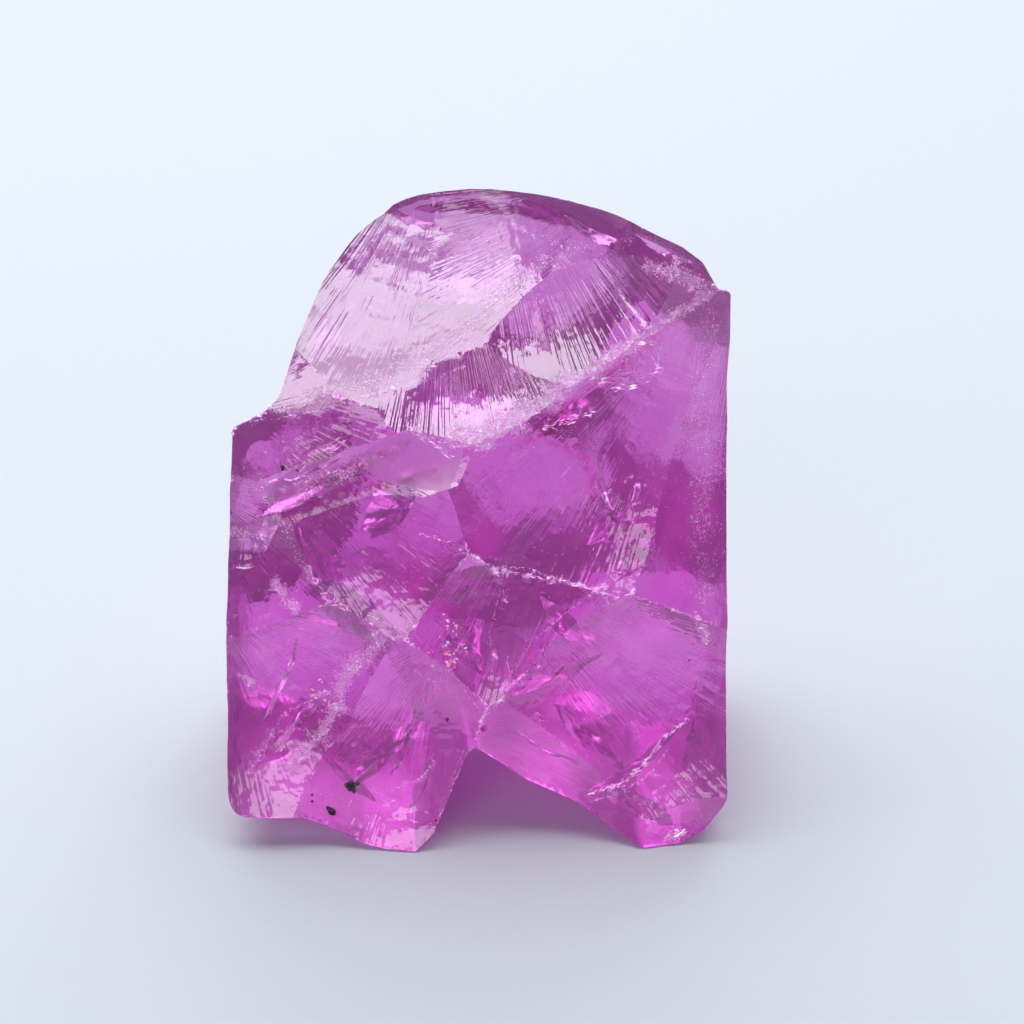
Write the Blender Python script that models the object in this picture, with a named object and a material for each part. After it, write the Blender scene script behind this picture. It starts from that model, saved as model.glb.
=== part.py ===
"""Raw zircon: one broken piece of clear crystal, standing on two feet.

X runs across the broad front face, Y away from it, Z up.  The blank is the overlap of two
prisms: the front outline, pushed straight back, and the rim of the domed top, pushed back and
down so that the stone falls away behind it.  Every fracture is a shallow spherical dish taken
out of the blank, and neighbouring dishes meet in the ridges.
"""

import math

import bmesh
import bpy
from mathutils import Vector

MM = 0.001

# Driving dimensions, in millimetres and degrees.
FRONT_LEAN = 22.0        # the front face leans back from upright
FRONT_FOOT = (-9.0, 0.65)  # Y and Z of a point of the front face
BACK_Y = 10.2            # the flat back
RIM_FALL = 36.0          # slope at which the stone drops away behind the rim
REACH = 45.0             # how far prisms and cutters run past the stone
CHORD = 0.014            # how far a dish's flat faces may lie off its sphere
DISH_SEGMENTS = 36

# Front outline: X, Z and corner radius, down the left side and along the base to the right.
OUTLINE = [
    (-12.1, 45.0, 0.0),
    (-14.0, 12.0, 9.0),
    (-14.05, 1.75, 1.5),
    (-9.9, 1.75, 3.0),
    (-6.5, 0.3, 2.0),
    (-5.2, 0.0, 0.0),
    (-3.6, 0.0, 0.3),
    (-2.5, 0.9, 1.2),
    (-0.45, 5.5, 0.5),
    (2.4, 3.4, 3.0),
    (5.5, 1.95, 4.0),
    (8.7, 0.1, 0.6),
    (9.1, 0.0, 0.0),
    (11.0, 0.0, 0.5),
    (12.6, 0.8, 1.6),
    (13.65, 2.6, 1.8),
    (13.5, 30.0, 0.0),
    (13.4, 45.0, 0.0),
]

# Rim of the top: X, Y, Z and corner radius, from the left shoulder over the dome.
RIM = [
    (-16.0, 0.5, 20.6, 0.0),
    (-13.9, 0.5, 21.95, 0.6),
    (-11.6, 1.0, 22.7, 0.8),
    (-10.9, 1.4, 23.4, 0.4),
    (-9.8, 4.0, 25.9, 1.0),
    (-8.6, 6.4, 28.1, 1.0),
    (-6.7, 8.2, 30.2, 1.0),
    (-4.1, 9.2, 31.7, 2.0),
    (0.0, 9.2, 32.3, 3.0),
    (4.4, 7.9, 32.4, 3.0),
    (7.6, 6.1, 31.8, 2.0),
    (10.5, 3.7, 31.2, 1.0),
    (11.9, 2.4, 30.9, 0.6),
    (12.7, 1.9, 29.6, 0.3),
    (15.0, 1.8, 29.5, 0.0),
]

# Dishes of the front face: across the face, up the face, depth and radius.
FRONT_DISHES = {
    "middle": (0.2, 12.1, 0.93, 22.0),
    "upper_left": (-6.9, 17.2, 1.29, 24.0),
    "upper_right": (6.2, 21.5, 1.87, 26.0),
    "right_edge": (13.6, 19.1, 1.80, 26.0),
    "centre_right": (3.7, 12.6, 1.04, 22.0),
    "lower_right": (8.9, 6.8, 1.93, 24.0),
    "lower_left": (-5.6, 4.8, 1.68, 22.0),
    "left_foot": (-11.3, 8.1, 1.89, 22.0),
    "shoulder": (-9.6, 24.3, 1.09, 24.0),
    "left_edge": (-13.4, 14.2, 1.64, 20.0),
    "right_foot": (11.6, 0.2, 1.65, 9.0),
    "over_notch": (4.2, 1.6, 1.88, 22.0),
    "skin": (0.0, 16.0, 0.20, 200.0),
}

# All other dishes: lowest point of the dish, outward direction, radius and half width.
DISHES = {
    "top_bowl": ((-4.6, 4.8, 25.9), (-0.03, -0.66, 0.75), 27.0, 17.0),
    "shoulder_ledge": ((-9.3, 0.7, 22.6), (-0.12, -0.60, 0.77), 14.0, 9.0),
    "top_wall": ((4.3, 5.6, 28.9), (-0.27, -0.82, 0.51), 13.9, 10.0),
    "top_lens": ((4.4, 4.1, 25.8), (-0.18, -0.80, 0.57), 10.5, 9.5),
    "top_scoop": ((0.0, 1.7, 22.4), (0.03, -0.76, 0.64), 17.4, 11.0),
    "back_top": ((2.0, 9.5, 21.0), (0.05, 0.99, 0.08), 26.0, 13.0),
    "back_left": ((-9.5, 8.6, 13.0), (-0.45, 0.88, 0.12), 20.0, 12.0),
    "back_right": ((9.8, 8.8, 15.5), (0.42, 0.90, 0.0), 24.0, 13.0),
    "back_middle": ((0.5, 9.4, 13.0), (0.0, 1.0, -0.05), 30.0, 11.0),
    "back_foot_left": ((-7.5, 8.2, 4.2), (-0.2, 0.86, -0.47), 16.0, 9.0),
    "back_foot_right": ((8.0, 9.0, 5.0), (0.15, 0.88, -0.45), 18.0, 9.5),
    "left_side": ((-13.3, 2.0, 9.0), (-1.0, 0.12, 0.0), 30.0, 10.0),
    "right_side": ((13.2, 2.5, 12.0), (1.0, 0.05, 0.0), 60.0, 16.0),
    "left_under": ((-10.5, 2.0, 2.6), (-0.35, 0.1, -0.93), 10.0, 6.0),
    "notch_right": ((5.0, 3.5, 2.6), (-0.35, 0.1, -0.93), 6.0, 5.0),
}


def rounded(corners):
    """The corners (x, y, radius) as a list of points, each corner turned by its radius."""
    points = []
    for index, (x, y, radius) in enumerate(corners):
        corner = Vector((x, y))
        if radius == 0.0:
            points.append(corner)
            continue
        back = Vector(corners[index - 1][:2]) - corner
        ahead = Vector(corners[index + 1][:2]) - corner
        half = back.angle(ahead) / 2
        trim = min(radius / math.tan(half), back.length * 0.45, ahead.length * 0.45)
        start = corner + back.normalized() * trim
        end = corner + ahead.normalized() * trim
        steps = max(2, math.ceil((math.pi / 2 - half) / 0.25))
        for step in range(steps + 1):
            t = step / steps
            points.append(start * (1 - t) ** 2 + corner * 2 * t * (1 - t) + end * t ** 2)
    return points


def new_object(name, mesh_builder):
    """An object of this name with the mesh that mesh_builder fills in."""
    mesh = bpy.data.meshes.new(name)
    bm = bmesh.new()
    mesh_builder(bm)
    bmesh.ops.remove_doubles(bm, verts=bm.verts, dist=1e-8)
    bmesh.ops.recalc_face_normals(bm, faces=bm.faces)
    bm.to_mesh(mesh)
    bm.free()
    obj = bpy.data.objects.new(name, mesh)
    bpy.context.scene.collection.objects.link(obj)
    return obj


def prism(name, points, push):
    """A closed prism on a list of 3-D points, pushed along a vector; all in millimetres."""

    def build(bm):
        verts = [bm.verts.new(point * MM) for point in points]
        face = bm.faces.new(verts)
        made = bmesh.ops.extrude_face_region(bm, geom=[face])["geom"]
        moved = [item for item in made if isinstance(item, bmesh.types.BMVert)]
        bmesh.ops.translate(bm, verts=moved, vec=push * MM)

    return new_object(name, build)


def dish_cutter(name, lowest, outward, radius, half_width):
    """A closed plug with a spherical sole: what one fracture takes away."""
    outward = Vector(outward).normalized()
    half_width = min(half_width, radius * 0.98)
    rings = max(3, math.ceil(half_width / math.sqrt(8 * radius * CHORD)))
    opening = math.asin(half_width / radius)
    profile = []
    for ring in range(rings + 1):
        angle = opening * ring / rings
        profile.append(Vector((radius * math.sin(angle), 0.0, radius * (1 - math.cos(angle)))))
    lid = profile[-1].z + REACH / 2
    profile.append(Vector((half_width * 1.4, 0.0, lid)))
    profile.append(Vector((0.0, 0.0, lid)))

    def build(bm):
        verts = [bm.verts.new(point * MM) for point in profile]
        edges = [bm.edges.new(pair) for pair in zip(verts, verts[1:])]
        bmesh.ops.spin(
            bm,
            geom=verts + edges,
            axis=(0.0, 0.0, 1.0),
            cent=(0.0, 0.0, 0.0),
            angle=math.tau,
            steps=DISH_SEGMENTS,
            use_merge=True,
        )

    cutter = new_object(name, build)
    cutter.rotation_mode = "QUATERNION"
    cutter.rotation_quaternion = outward.to_track_quat("Z", "Y")
    cutter.location = Vector(lowest) * MM
    return cutter


def add_boolean(obj, other, operation):
    """One Boolean step of obj with other, which stays as a hidden guide."""
    step = obj.modifiers.new(other.name, "BOOLEAN")
    step.operation = operation
    step.solver = "EXACT"
    step.object = other
    other.hide_render = True
    other.display_type = "WIRE"


def face_point(across, up, depth):
    """A point of the leaning front face, depth millimetres into the stone."""
    lean = math.radians(FRONT_LEAN)
    foot_y, foot_z = FRONT_FOOT
    return Vector((
        across,
        foot_y + up * math.sin(lean) + depth * math.cos(lean),
        foot_z + up * math.cos(lean) - depth * math.sin(lean),
    ))


def crystal_material():
    material = bpy.data.materials.new("crystal")
    material.use_nodes = True
    shader = material.node_tree.nodes["Principled BSDF"]
    shader.inputs["Base Color"].default_value = (0.62, 0.12, 0.52, 1.0)
    shader.inputs["Roughness"].default_value = 0.05
    shader.inputs["Metallic"].default_value = 0.0
    shader.inputs["IOR"].default_value = 1.92
    shader.inputs["Transmission Weight"].default_value = 1.0
    return material


def build_blank():
    """The front outline pushed straight back."""
    front_y = FRONT_FOOT[0] - 2.0
    points = [Vector((p.x, front_y, p.y)) for p in rounded(OUTLINE)]
    return prism("crystal", points, Vector((0.0, BACK_Y - front_y, 0.0)))


def build_rim_prism():
    """Everything under the rim, along a line that falls away behind it."""
    fall = math.radians(RIM_FALL)
    along = Vector((0.0, math.cos(fall), -math.sin(fall)))
    over = Vector((0.0, math.sin(fall), math.cos(fall)))
    corners = [(x, z * over.z + y * over.y, radius) for x, y, z, radius in RIM]
    points = [Vector((p.x, 0.0, 0.0)) + over * p.y for p in rounded(corners)]
    points.append(Vector((REACH, 0.0, 0.0)) + over * points[-1].dot(over))
    points.append(Vector((REACH, 0.0, 0.0)) - over * REACH)
    points.append(Vector((-REACH, 0.0, 0.0)) - over * REACH)
    points.append(Vector((-REACH, 0.0, 0.0)) + over * points[0].dot(over))
    points = [point - along * REACH for point in points]
    return prism("rim", points, along * REACH * 2)


def stand_on_origin(obj):
    """Puts the middle of the box's underside on the origin."""
    bpy.context.view_layer.update()
    mesh = obj.evaluated_get(bpy.context.evaluated_depsgraph_get()).data
    low = [min(v.co[axis] for v in mesh.vertices) for axis in range(3)]
    high = [max(v.co[axis] for v in mesh.vertices) for axis in range(3)]
    shift = Vector(((low[0] + high[0]) / 2, (low[1] + high[1]) / 2, low[2]))
    for item in bpy.context.scene.objects:
        item.location = item.location - shift


def main():
    for obj in list(bpy.data.objects):
        bpy.data.objects.remove(obj)
    crystal = build_blank()
    add_boolean(crystal, build_rim_prism(), "INTERSECT")
    outward = face_point(0.0, 0.0, 0.0) - face_point(0.0, 0.0, 1.0)
    for name, (across, up, depth, radius) in FRONT_DISHES.items():
        lowest = face_point(across, up, depth)
        add_boolean(crystal, dish_cutter(name, lowest, outward, radius, 24.0), "DIFFERENCE")
    for name, (lowest, direction, radius, half_width) in DISHES.items():
        add_boolean(crystal, dish_cutter(name, lowest, direction, radius, half_width), "DIFFERENCE")
    stand_on_origin(crystal)
    crystal.data.materials.append(crystal_material())


main()
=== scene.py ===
"""Raw zircon: one broken piece of clear pink crystal with knapped faces, standing on two feet.

The stone is a blank with the outline of the front and the rim of the top.  Every fracture is a
shallow dish struck out of it, with the ripples that run round the point of the blow and the fine
lines that run away from it.  All sizes are in millimetres until they reach Blender.
"""

import math

import bmesh
import bpy
import numpy as np
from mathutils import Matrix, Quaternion, Vector
from mathutils.bvhtree import BVHTree
from mathutils.kdtree import KDTree


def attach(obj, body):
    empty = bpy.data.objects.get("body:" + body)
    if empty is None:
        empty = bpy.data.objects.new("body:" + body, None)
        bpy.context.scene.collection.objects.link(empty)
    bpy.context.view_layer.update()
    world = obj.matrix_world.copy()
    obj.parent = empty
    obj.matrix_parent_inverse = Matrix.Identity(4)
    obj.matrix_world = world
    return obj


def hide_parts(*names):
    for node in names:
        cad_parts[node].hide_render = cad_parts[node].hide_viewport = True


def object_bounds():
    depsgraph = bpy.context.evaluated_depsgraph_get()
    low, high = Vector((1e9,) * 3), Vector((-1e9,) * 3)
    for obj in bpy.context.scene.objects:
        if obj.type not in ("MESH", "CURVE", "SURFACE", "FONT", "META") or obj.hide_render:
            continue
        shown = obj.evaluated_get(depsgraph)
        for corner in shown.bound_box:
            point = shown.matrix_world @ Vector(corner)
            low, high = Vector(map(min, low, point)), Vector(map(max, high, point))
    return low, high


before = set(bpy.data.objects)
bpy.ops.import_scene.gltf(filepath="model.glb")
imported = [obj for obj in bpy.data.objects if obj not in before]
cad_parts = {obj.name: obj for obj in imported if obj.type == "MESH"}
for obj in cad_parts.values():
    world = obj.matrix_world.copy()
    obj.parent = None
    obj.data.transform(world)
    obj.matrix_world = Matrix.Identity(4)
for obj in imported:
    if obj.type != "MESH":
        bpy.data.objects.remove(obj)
cad_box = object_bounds()

MM = 0.001
SEED = 11
SHIFT = Vector((0.198, -0.990, 0.0))  # from the stone's own axes to the middle of its box
FRONT_LEAN = math.radians(22.0)
FRONT_FOOT = (-9.0, 0.65)             # Y and Z of a point of the front face
FRONT_START = FRONT_FOOT[0] - 2.0     # Y where the blank starts, before the front is struck
BACK_Y = 10.2
RIM_FALL = math.radians(36.0)
REACH = 45.0                          # longer than the stone: how far a plug reaches outward
RIDGE_ANGLE = math.radians(6.0)       # edges sharper than this count as ridges
SMOOTH_ANGLE = math.radians(18.0)     # edges blunter than this are shaded smooth
RIDGE_SEARCH = 0.7                    # how far a ridge may lie from its listed route
RIDGE_CHIP_STEP = 0.35                # about one chip in so many millimetres of ridge
RIDGE_CHIP_SIZES = (1.5, 6.0)         # smallest and largest, in half widths of the ridge
OUTER_ANGLE = math.radians(50.0)      # edges sharper than this are outer edges
OUTER_CHIPS = 230
OUTER_CHIP_SIZES = (0.08, 0.52)
CHIP_FROST = 0.35                     # how frosted the walls of the chips are
CREST_ROUND = 0.9                     # how far the rounding of the crest reaches
CREST_SPREAD = 1.0                    # how far a sharp edge of the crest may lie off its route
LONG_EDGE = 0.6                       # longer edges aren't part of the fine mesh
TOP_GAP = 0.01                        # between the stone's top and the top of its box
FLECKS = 8000                         # white grains of the frosted skin
FLECK_FROST = 0.36                    # the least frost that carries them
FLECK_SIZE = 0.014                    # the smallest of them; the largest is three times that
UNEVEN = 0.14                         # unevenness of the sides and the feet
CRACK_GAP = 0.012                     # half the width of an inner crack
CRACK_COVER = 0.1                     # the least stone over an inner crack
CRACK_MATTE = 0.2
SLIVERS_PER_MM = 18.0                 # white slivers along the crushed ridges
ROUTE_SLIVERS_PER_MM = 10.0           # and those laid along the listed routes themselves
CRIMSON_SHADE_DEPTH = 3.5                   # the painted crimson shade lies no deeper behind the front
STOP_SLOPE = 4.0                      # how steeply a fracture climbs out where it stops
FACET_GAP = 0.2                       # a place so near a dish's sphere lies on the dish
RINGS = (1.3, 0.72)                   # from ring to ring round a blow, coarse and fine
FINE_RINGS = 0.6                      # height of the fine rings against the coarse ones
LINES = 10                            # sets of fine lines that run from a blow
LINE_COUNTS = (60.0, 190.0)           # fewest and most lines of a set
ZIRCON_IOR = 1.92

# Front outline: X, Z and corner radius, down the left side and along the base to the right.
OUTLINE = [
    (-12.1, 45.0, 0.0),
    (-14.0, 12.0, 9.0),
    (-14.05, 1.75, 1.5),
    (-9.9, 1.75, 3.0),
    (-6.5, 0.3, 2.0),
    (-5.2, 0.0, 0.0),
    (-3.6, 0.0, 0.3),
    (-2.5, 0.9, 1.2),
    (-0.45, 5.5, 0.5),
    (2.4, 3.4, 3.0),
    (5.5, 1.95, 4.0),
    (8.7, 0.1, 0.6),
    (9.1, 0.0, 0.0),
    (11.0, 0.0, 0.5),
    (12.6, 0.8, 1.6),
    (13.65, 2.6, 1.8),
    (13.5, 30.0, 0.0),
    (13.4, 45.0, 0.0),
]

# Rim of the top: X, Y, Z and corner radius, from the left shoulder over the dome.
RIM = [
    (-14.9, 0.5, 17.8, 0.0),
    (-13.3, 0.5, 22.0, 0.6),
    (-11.6, 1.0, 22.7, 1.5),
    (-10.9, 1.4, 23.4, 2.0),
    (-9.8, 4.0, 25.9, 5.0),
    (-8.6, 6.4, 28.1, 6.0),
    (-6.7, 8.2, 30.2, 6.0),
    (-4.1, 9.2, 31.7, 8.0),
    (0.0, 9.2, 32.3, 12.0),
    (4.4, 7.9, 32.2, 10.0),
    (7.6, 6.1, 31.8, 8.0),
    (10.5, 3.7, 31.2, 3.0),
    (11.9, 2.4, 30.9, 0.8),
    (12.7, 1.9, 29.6, 0.3),
    (13.3, 1.85, 29.5, 0.4),
    (14.2, 1.8, 27.0, 0.0),
]


def face_point(across, up, depth=0.0):
    """A point of the leaning front face, depth millimetres into the stone."""
    foot_y, foot_z = FRONT_FOOT
    return Vector((
        across,
        foot_y + up * math.sin(FRONT_LEAN) + depth * math.cos(FRONT_LEAN),
        foot_z + up * math.cos(FRONT_LEAN) - depth * math.sin(FRONT_LEAN),
    ))


FRONT_OUT = Vector((0.0, -math.cos(FRONT_LEAN), math.sin(FRONT_LEAN)))
FRONT_HALF = 10.5                     # half width of a dish of the front
HIDDEN_SWAY = 0.1                     # unevenness of the hidden dishes
INWARD = Vector((0.0, 0.902, -0.431))  # away from the viewer: how a crack's depth is measured


def front_dish(across, up, depth, radius, blow, **finish):
    """A dish of the front face; blow is where it was struck, across and up the face."""
    return {
        "lowest": face_point(across, up, depth),
        "outward": FRONT_OUT,
        "radius": radius,
        "half": FRONT_HALF,
        "blow": face_point(*blow),
        **finish,
    }


def dish(lowest, outward, radius, half, blow, **finish):
    """Any other dish, by its lowest point, outward direction, radius and half width."""
    return {
        "lowest": Vector(lowest),
        "outward": Vector(outward).normalized(),
        "radius": radius,
        "half": half,
        "blow": Vector(blow),
        **finish,
    }


# ripple: height of the rings round the blow; hackle: height of the lines that run from it;
# sway: soft unevenness; cell: size of the mesh that carries them; streak: strength of the fine
# lines of the bump; stretch and twist: a long groove; stop: where a fracture ends, and which way.
DISHES = {
    "middle": front_dish(0.2, 12.1, 0.93, 22.0, (4.0, 22.0)),
    "upper_left": front_dish(-6.9, 17.2, 1.29, 24.0, (-14.0, 24.0)),
    "upper_right": front_dish(6.2, 21.5, 1.87, 26.0, (12.0, 30.0)),
    "right_edge": front_dish(13.6, 19.1, 1.80, 26.0, (14.0, 31.0)),
    "centre_right": front_dish(3.7, 12.6, 1.04, 22.0, (0.0, 5.0)),
    "lower_right": front_dish(8.9, 6.8, 1.93, 24.0, (0.0, 16.0), hackle=0.016),
    "lower_left": front_dish(-5.6, 4.8, 1.68, 22.0, (-2.0, 12.0)),
    "left_foot": front_dish(-11.3, 8.1, 1.89, 22.0, (-15.0, 14.0)),
    "shoulder": front_dish(-9.6, 24.3, 1.09, 24.0, (-15.0, 26.0)),
    "left_edge": front_dish(-13.4, 14.2, 1.64, 20.0, (-15.0, 20.0)),
    "right_foot": front_dish(11.6, 0.2, 1.65, 9.0, (14.0, -2.0)),
    "over_notch": front_dish(4.2, 1.6, 1.88, 22.0, (-1.0, 7.0)),
    "splinter_long": front_dish(-6.6, 20.3, 1.28, 5.0, (-14.0, 18.0), half=1.9, stretch=4.0,
                                twist=19.0, cell=0.1, streak=0.8),
    "edge_pit": front_dish(-12.9, 16.2, 1.75, 1.8, (-12.9, 17.6), half=1.6, ripple=0.03,
                           cell=0.07),
    "skin": {
        "lowest": face_point(0.0, 16.0, 0.20),
        "outward": FRONT_OUT,
        "radius": 200.0,
        "half": 24.0,
        "blow": face_point(0.0, 40.0),
        "cell": 0.5,
    },
    "rim_band": dish((-2.5, 8.8, 31.2), (0.0, -0.906, 0.423), 15.5, 10.0, (10.0, 3.0, 36.0),
                     hackle=0.01),
    "top_bowl": dish((-4.6, 4.8, 25.9), (-0.03, -0.66, 0.75), 27.0, 15.0, (-1.0, 13.0, 36.0),
                     hackle=0.012, ripple=0.01, sway=0.07, streak=0.6,
                     stop=((-2.8, 8.6, 30.2), (0.27, 0.75, 0.66))),
    "shoulder_ledge": dish((-9.3, 0.7, 22.6), (-0.12, -0.60, 0.77), 14.0, 9.0,
                           (-15.0, 0.0, 23.0)),
    "top_wall": dish((4.3, 5.6, 28.9), (-0.27, -0.82, 0.51), 13.9, 10.0, (0.0, 8.0, 34.0)),
    "top_lens": dish((4.4, 4.1, 25.8), (-0.18, -0.80, 0.57), 10.5, 9.5, (0.0, 12.0, 36.0),
                     hackle=0.035, streak=0.8, cell=0.15),
    "top_scoop": dish((0.0, 1.7, 22.4), (0.03, -0.76, 0.64), 17.4, 11.0, (-2.0, 6.0, 34.0),
                      hackle=0.035, streak=0.7, cell=0.15),
}

# The dishes of the back, the sides and the underside: lowest point, outward direction, radius,
# half width and blow.
HIDDEN_DISHES = {
    "back_top": ((2.0, 9.5, 21.0), (0.05, 0.99, 0.08), 26.0, 13.0, (2.0, 9.0, 34.0)),
    "back_left": ((-9.5, 8.6, 13.0), (-0.45, 0.88, 0.12), 20.0, 12.0, (-14.0, 6.0, 24.0)),
    "back_right": ((9.8, 8.8, 15.5), (0.42, 0.90, 0.0), 24.0, 13.0, (14.0, 8.0, 30.0)),
    "back_middle": ((0.5, 9.4, 13.0), (0.0, 1.0, -0.05), 30.0, 11.0, (6.0, 9.0, 2.0)),
    "back_foot_left": ((-7.5, 8.2, 4.2), (-0.2, 0.86, -0.47), 16.0, 9.0, (-12.0, 8.0, 0.0)),
    "back_foot_right": ((8.0, 9.0, 5.0), (0.15, 0.88, -0.45), 18.0, 9.5, (14.0, 8.0, 0.0)),
    "left_side": ((-13.3, 2.0, 9.0), (-1.0, 0.12, 0.0), 30.0, 10.0, (-13.0, -8.0, 4.0)),
    "right_side": ((13.2, 2.5, 12.0), (1.0, 0.05, 0.0), 60.0, 16.0, (13.0, -8.0, 4.0)),
    "left_under": ((-10.5, 2.0, 2.6), (-0.35, 0.1, -0.93), 10.0, 6.0, (-13.0, -6.0, 2.0)),
    "notch_right": ((5.0, 3.5, 2.6), (-0.35, 0.1, -0.93), 6.0, 5.0, (0.0, 3.0, 5.0)),
    "behind_corner": ((12.7, 6.1, 26.0), (0.35, 0.48, 0.80), 8.0, 5.0, (14.0, 10.0, 24.0)),
}
DISHES.update((name, dish(*row, sway=HIDDEN_SWAY)) for name, row in HIDDEN_DISHES.items())


def deselect():
    bpy.ops.object.select_all(action="DESELECT")


def make_active(obj):
    """Selects this object alone."""
    deselect()
    obj.select_set(True)
    bpy.context.view_layer.objects.active = obj


def join(parts, name):
    """Joins the parts into the first of them."""
    deselect()
    for part in parts:
        part.select_set(True)
    bpy.context.view_layer.objects.active = parts[0]
    bpy.ops.object.join()
    parts[0].name = name
    return parts[0]


def edit_all():
    """Opens the active object's mesh with all of it selected."""
    bpy.ops.object.mode_set(mode="EDIT")
    bpy.ops.mesh.select_all(action="SELECT")


def turn_faces(inside=False):
    """Turns all faces of the open mesh outward, or inward, and closes it."""
    bpy.ops.mesh.select_all(action="SELECT")
    bpy.ops.mesh.normals_make_consistent(inside=inside)
    bpy.ops.object.mode_set(mode="OBJECT")


def point_tree(points):
    """A search tree of the points."""
    tree = KDTree(len(points))
    for index, point in enumerate(points):
        tree.insert(point, index)
    tree.balance()
    return tree


def skin_tree(stone):
    """A search tree of the stone's skin, in metres."""
    return BVHTree.FromObject(stone, bpy.context.evaluated_depsgraph_get())


def scatter(rng, skin, middle, spread):
    """A place of the skin near the middle, in metres, and the way outward there."""
    place = Vector(middle) + Vector(rng.normal(0.0, spread, 3)) + SHIFT
    spot, out, _, _ = skin.find_nearest(place * MM)
    return spot, out


def edge_middle(edge):
    """The middle of a bmesh edge, in millimetres on the stone's own axes."""
    return (edge.verts[0].co + edge.verts[1].co) / 2 / MM - SHIFT


def route_length(route):
    return sum(math.dist(start, end) for start, end in zip(route, route[1:]))


def rounded(corners, bow=0.07):
    """The corners (x, y, radius) as a list of points, each corner turned by its radius."""
    points = []
    for index, (x, y, radius) in enumerate(corners):
        corner = Vector((x, y))
        if radius == 0.0:
            points.append(corner)
            continue
        back = Vector(corners[index - 1][:2]) - corner
        ahead = Vector(corners[index + 1][:2]) - corner
        half = back.angle(ahead) / 2
        trim = min(radius / math.tan(half), back.length * 0.45, ahead.length * 0.45)
        start = corner + back.normalized() * trim
        end = corner + ahead.normalized() * trim
        steps = max(3, math.ceil((math.pi / 2 - half) / bow))
        for step in range(steps + 1):
            t = step / steps
            points.append(start * (1 - t) ** 2 + corner * 2 * t * (1 - t) + end * t ** 2)
    return points


def prism(name, points, push, slices=1):
    """A ring of vertices set on the points, filled and extruded along push, slice by slice."""
    deselect()
    bpy.ops.mesh.primitive_circle_add(vertices=len(points), radius=MM, fill_type="NGON")
    obj = bpy.context.object
    obj.name = name
    for vert, point in zip(obj.data.vertices, points):
        vert.co = (point + SHIFT) * MM
    edit_all()
    for _ in range(slices):
        bpy.ops.mesh.extrude_region_move(TRANSFORM_OT_translate={"value": push * MM / slices})
    turn_faces()
    return obj


def read_all(items, name, width, kind=np.float64):
    """One property of all the items of a mesh, as an array with a row of this width for each."""
    values = np.empty(len(items) * width, dtype=kind)
    items.foreach_get(name, values)
    return values.reshape(-1, width)


def rest_points(mesh):
    """The vertex places of a mesh as an array, in millimetres."""
    return read_all(mesh.vertices, "co", 3) / MM


def set_points(mesh, places):
    mesh.vertices.foreach_set("co", (places * MM).ravel())
    mesh.update()


def waves(rng, coords, sizes, count=9):
    """Soft unevenness: the sum of a few plane waves of random direction at each size."""
    total = np.zeros(len(coords))
    for size, height in sizes:
        for _ in range(count):
            angle = rng.uniform(0, math.tau)
            length = size * rng.uniform(0.7, 1.5)
            phase = rng.uniform(0, math.tau)
            along = coords[:, 0] * math.cos(angle) + coords[:, 1] * math.sin(angle)
            total += height / math.sqrt(count) * np.sin(math.tau * along / length + phase)
    return total


def struck_surface(rng, flat, blow, spec):
    """How far a struck surface stands off its sphere: rings, fine lines and unevenness."""
    away = flat - blow
    reach = np.hypot(away[:, 0], away[:, 1])
    turn = np.arctan2(away[:, 1], away[:, 0])
    ripple = spec.get("ripple", 0.004)
    hackle = spec.get("hackle", 0.002)
    sway = spec.get("sway", 0.03)
    ring_phase = waves(rng, flat, [(9.0, 1.2)])
    rings = np.sin(math.tau * reach / RINGS[0] + ring_phase)
    rings += FINE_RINGS * np.sin(math.tau * reach / RINGS[1])
    swell = 0.5 + 0.5 * np.sin(reach * 0.7 + ring_phase)
    lines = np.zeros(len(flat))
    for _ in range(LINES):
        count = rng.uniform(*LINE_COUNTS)
        lines += np.sin(turn * count + rng.uniform(0, math.tau)) / math.sqrt(LINES)
    fan = np.clip(0.5 + waves(rng, flat, [(6.0, 0.5)]), 0.0, 1.0)
    uneven = waves(rng, flat, [(7.0, sway), (2.6, sway * 0.25)])
    return ripple * rings * swell + hackle * lines * fan + uneven


def plug(name, spec, rng):
    """A closed plug whose sole is one struck surface: what that fracture takes away."""
    radius = spec["radius"]
    stretch = spec.get("stretch", 1.0)
    half = min(spec["half"], radius * 0.9)
    cell = spec.get("cell", 0.2)
    deselect()
    bpy.ops.mesh.primitive_grid_add(
        x_subdivisions=int(2 * half * stretch / cell),
        y_subdivisions=int(2 * half / cell),
        size=2 * half * MM,
    )
    obj = bpy.context.object
    obj.name = name
    turn = spec["outward"].to_track_quat("Z", "Y")
    turn = turn @ Quaternion((0.0, 0.0, 1.0), math.radians(spec.get("twist", 0.0)))
    blow = turn.inverted() @ (spec["blow"] - spec["lowest"])
    places = rest_points(obj.data)
    reach = np.minimum(np.hypot(places[:, 0], places[:, 1]), radius * 0.985)
    places[:, 0] *= stretch
    sole = radius - np.sqrt(radius ** 2 - reach ** 2)
    places[:, 2] = sole + struck_surface(rng, places[:, :2], np.array(blow[:2]), spec)
    if "stop" in spec:
        stop_at = turn.inverted() @ (Vector(spec["stop"][0]) - spec["lowest"])
        beyond = turn.inverted() @ Vector(spec["stop"][1]).normalized()
        past = (places[:, :2] - np.array(stop_at[:2])) @ np.array(beyond[:2])
        past += waves(rng, places[:, :2], [(4.0, 0.15), (1.2, 0.05)])
        places[:, 2] += STOP_SLOPE * np.maximum(past, 0.0)
    set_points(obj.data, places)
    edit_all()
    bpy.ops.mesh.extrude_region_move(TRANSFORM_OT_translate={"value": (0, 0, REACH * MM)})
    turn_faces()
    obj.rotation_mode = "QUATERNION"
    obj.rotation_quaternion = turn
    obj.location = (spec["lowest"] + SHIFT) * MM
    return obj


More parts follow.
